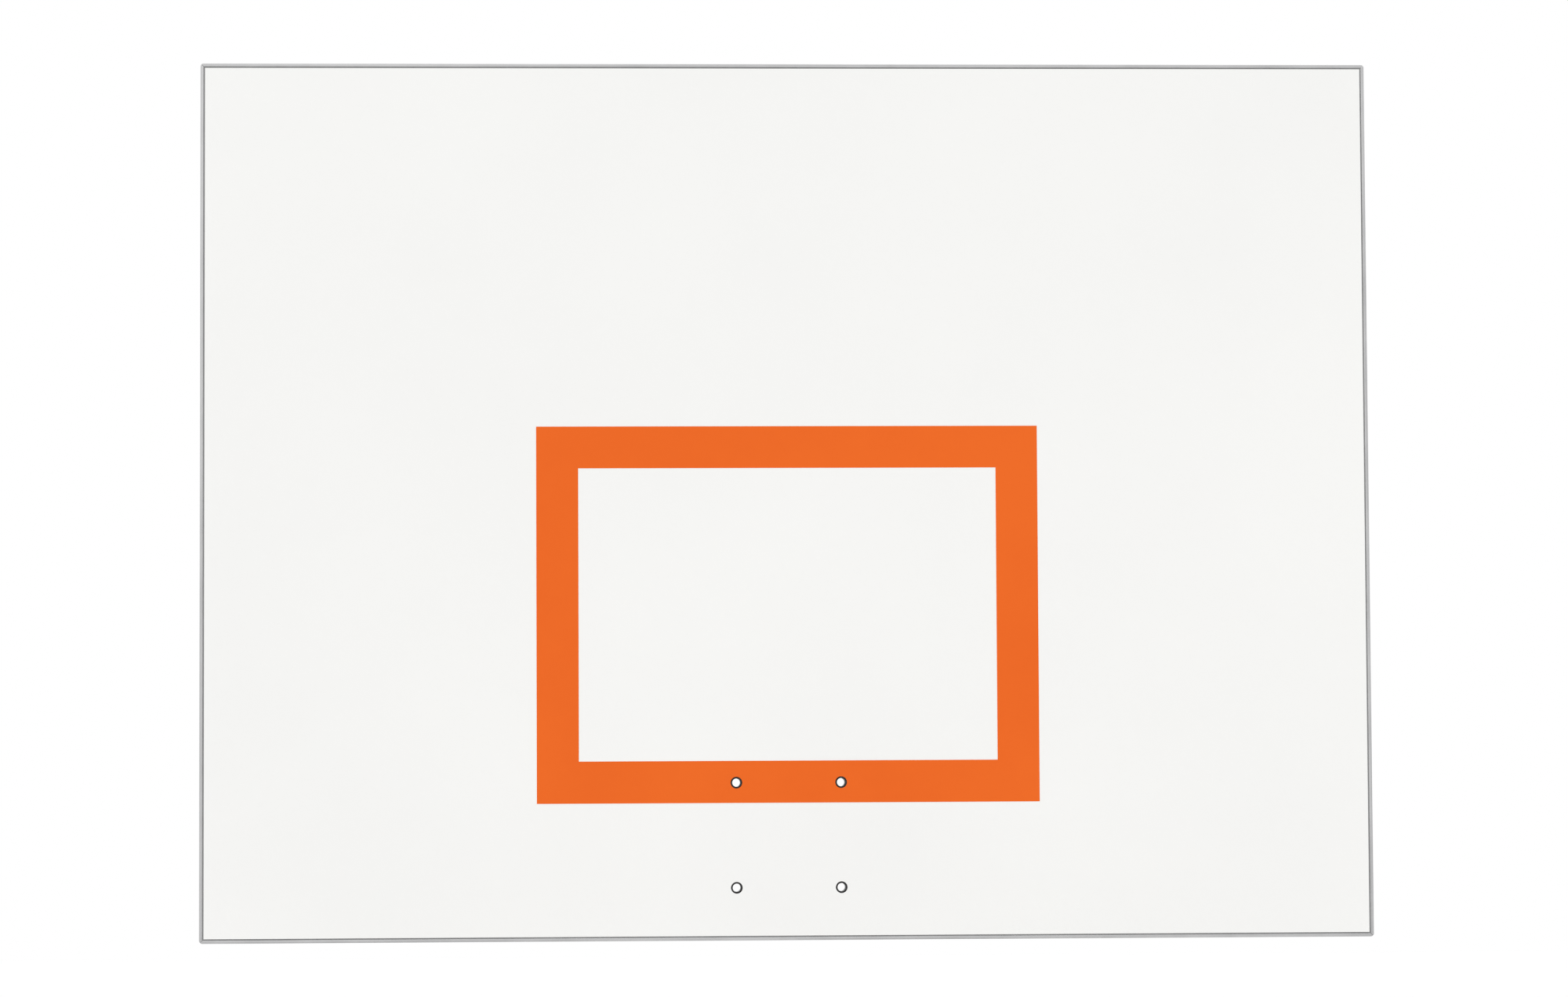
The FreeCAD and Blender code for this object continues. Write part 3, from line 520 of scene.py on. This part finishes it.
def makeNut(low, high, bore):  # corners up and down, axis along Y
    flats, half = high.x - low.x, (high.y - low.y) / 2
    corner = flats / 2 / math.cos(math.pi / hexNut["sides"])
    slope = math.tan(math.radians(hexNut["chamfer"]))
    flat, room = hexNut["faceShare"] * flats / 2, hexNut["roomShare"] * corner
    tip, shoulder = half + flat * slope, half - (room - flat) * slope
    deselectAll()
    bpy.ops.mesh.primitive_cylinder_add(vertices=hexNut["sides"], radius=corner, depth=2 * half,
                                        rotation=(math.radians(bench["quarterTurn"]), 0, 0))
    nut = bpy.context.object
    bpy.ops.object.transform_apply(location=True, rotation=True, scale=True)
    cones = [(0, -tip), (room, -shoulder), (room, shoulder), (0, tip)]
    combine(nut, spinProfile("nutCones", cones, hexNut["coneSteps"]), "INTERSECT")
    combine(nut, bore, "DIFFERENCE")
    return nut


for name, nodeName in (("rail_hex_nuts", "rail_nuts"), ("bracket_hex_nuts", "bracket_nuts")):
    places = plainPlaces(nodeName)
    low, high = places[0]
    radius, reach = hexNut["boreRadius"], high.y - low.y
    profile = [(0, -reach), (radius, -reach), (radius, reach), (0, reach)]
    nut = makeNut(low, high, spinProfile("nutBore", profile, hexNut["boreSteps"]))
    setOut(name, nodeName, nut, [(low + high) / 2 for low, high in places], brightPlate)

# Threads are zigzag profiles from root to root, with a flat crest between these shares of the pitch.
crestShares = (0.45, 0.55)


def threadProfile(sizes, start):
    root, crest, pitch, turns = (sizes[size] for size in ("root", "crest", "pitch", "turns"))
    points = []
    for turn in range(turns):
        along = start + turn * pitch
        points += [(root, along)] + [(crest, along + share * pitch) for share in crestShares]
    return points + [(root, start + turns * pitch)]


# Mounting nuts: hex nuts with a threaded bore.
mountNut = {"crest": 0.00635, "root": 0.0054, "pitch": 0.00195, "turns": 12, "boreEnd": 0.0003, "steps": 32}
places = plainPlaces("mount_nuts")
low, high = places[0]
reach = mountNut["turns"] * mountNut["pitch"] / 2
end = reach + mountNut["boreEnd"]
profile = [(0, -end)] + threadProfile(mountNut, -reach) + [(0, end)]
nut = makeNut(low, high, spinProfile("nutBore", profile, mountNut["steps"]))
spots = [(low + high) / 2 for low, high in places]
setOut("mount_hex_nuts", "mount_nuts", nut, spots, brightPlate)

# Sink bolts: countersunk, with the thread as wide as the shank.
sinkBolt = {"headRadius": 0.006, "headEdge": 0.0002, "crest": 0.003, "root": 0.00255, "pitch": 0.001,
            "turns": 9, "runout": 0.0004, "point": 0.0007, "pointInset": 0.0004, "steps": 28}


def makeBolt(length):  # countersunk head at Y zero, thread towards the back
    head, rim, shank = sinkBolt["headRadius"], sinkBolt["headEdge"], sinkBolt["crest"]
    start = length - sinkBolt["point"] - sinkBolt["turns"] * sinkBolt["pitch"]
    profile = [(0, 0), (head, 0), (head, rim), (shank, rim + head - shank)]
    profile += [(shank, start - sinkBolt["runout"])] + threadProfile(sinkBolt, start)
    profile += [(sinkBolt["root"] - sinkBolt["pointInset"], length), (0, length)]
    return spinProfile("sinkBolt", profile, sinkBolt["steps"])


for name, nodeName in (("rail_sink_bolts", "rail_bolts"), ("bracket_sink_bolts", "bracket_bolts")):
    places = plainPlaces(nodeName)
    low, high = places[0]
    spots = [crossMiddle(low, high, low.y) for low, high in places]
    setOut(name, nodeName, makeBolt(high.y - low.y), spots, brightPlate)

# Rim tubes: the sleeves, with chamfered ends.
tube = {"boreRadius": 0.005, "mouth": 0.0005, "rim": 0.0003, "steps": 48}
places = plainPlaces("rim_sleeves")
low, high = places[0]
outside, length = (high.x - low.x) / 2, high.y - low.y
bore, mouth, rim = tube["boreRadius"], tube["mouth"], tube["rim"]
ring = [(bore + mouth, 0), (outside - rim, 0), (outside, rim),
        (outside, length - rim), (outside - rim, length), (bore + mouth, length),
        (bore, length - mouth), (bore, mouth), (bore + mouth, 0)]
sleeveTube = spinProfile("rimTube", ring, tube["steps"])
spots = [crossMiddle(low, high, low.y) for low, high in places]
# The tubes take the near-black steel, whose darkness is painted shade inside the rim holes.
setOut("rim_tubes", "rim_sleeves", sleeveTube, spots, holeShadeSteel)

# Studio: pale floor well under the board, even light and the photograph's view.
studio = {"floorDrop": 0.30, "floorSize": 16, "floorRoughness": 0.9, "floorLift": 0.055,
          "speckle": {"Scale": 30, "Detail": 3},
          "floorTones": [(0.3, (0.866, 0.866, 0.866)), (0.7, (0.874, 0.874, 0.874))],
          "worldLight": 0.777, "backdropLight": 1, "sunSpread": 95,
          "suns": {"keySun": (0.75, (48, 0, -32)), "backSun": (0.75, (-48, 0, -32))}}
white = (1, 1, 1, 1)


def shownRays(tree):  # 1 where the camera, a reflection or a see-through surface looks
    rays = tree.nodes.new("ShaderNodeLightPath")
    straight = tree.nodes.new("ShaderNodeMath")
    straight.operation = "MAXIMUM"
    shown = tree.nodes.new("ShaderNodeMath")
    shown.operation = "MAXIMUM"
    tree.links.new(rays.outputs["Is Camera Ray"], straight.inputs[0])
    tree.links.new(rays.outputs["Is Glossy Ray"], straight.inputs[1])
    tree.links.new(straight.outputs["Value"], shown.inputs[0])
    tree.links.new(rays.outputs["Is Transmission Ray"], shown.inputs[1])
    return shown.outputs["Value"]


deselectAll()
floorLevel = cadBox[0][2] - studio["floorDrop"]
bpy.ops.mesh.primitive_plane_add(size=studio["floorSize"], location=(0, 0, floorLevel))
floor = bpy.context.object
floor.name = "floor"
floorFinish, tree, shader = newFinish("floorFinish", roughness=studio["floorRoughness"])
speckle = pattern(tree, studio["speckle"])
tree.links.new(ramp(tree, speckle.outputs["Fac"], studio["floorTones"]), shader.inputs["Base Color"])
shader.inputs["Specular IOR Level"].default_value = 0
shader.inputs["Emission Color"].default_value = white
lift = tree.nodes.new("ShaderNodeMath")
lift.operation = "MULTIPLY"
lift.inputs[1].default_value = studio["floorLift"]
tree.links.new(shownRays(tree), lift.inputs[0])
tree.links.new(lift.outputs["Value"], shader.inputs["Emission Strength"])
floor.data.materials.append(floorFinish)

world = bpy.data.worlds.new("studio")
bpy.context.scene.world = world
world.use_nodes = True
tree = world.node_tree
tree.nodes.clear()
glow = tree.nodes.new("ShaderNodeBackground")
glow.inputs["Color"].default_value = white
glow.inputs["Strength"].default_value = studio["worldLight"]
backdrop = tree.nodes.new("ShaderNodeBackground")
backdrop.inputs["Color"].default_value = white
backdrop.inputs["Strength"].default_value = studio["backdropLight"]
choose = tree.nodes.new("ShaderNodeMixShader")
output = tree.nodes.new("ShaderNodeOutputWorld")
tree.links.new(shownRays(tree), choose.inputs["Fac"])
tree.links.new(glow.outputs["Background"], choose.inputs[1])
tree.links.new(backdrop.outputs["Background"], choose.inputs[2])
tree.links.new(choose.outputs["Shader"], output.inputs["Surface"])

for name, (strength, turn) in studio["suns"].items():
    deselectAll()
    bpy.ops.object.light_add(type="SUN", rotation=[math.radians(part) for part in turn])
    sun = bpy.context.object
    sun.name = name
    sun.data.energy = strength
    sun.data.angle = math.radians(studio["sunSpread"])

# View: place in metres, turn in degrees, lens and sensor in millimetres.
view = {"place": (-0.2660, -6.0, -0.3462), "turn": (93.343, 0.292, -2.504), "lens": 112.69, "sensor": 36}
deselectAll()
bpy.ops.object.camera_add(location=view["place"], rotation=[math.radians(part) for part in view["turn"]])
camera = bpy.context.object
camera.data.lens = view["lens"]
camera.data.sensor_width = view["sensor"]
bpy.context.scene.camera = camera
bpy.context.scene.view_settings.view_transform = "Standard"
print("studio ready")
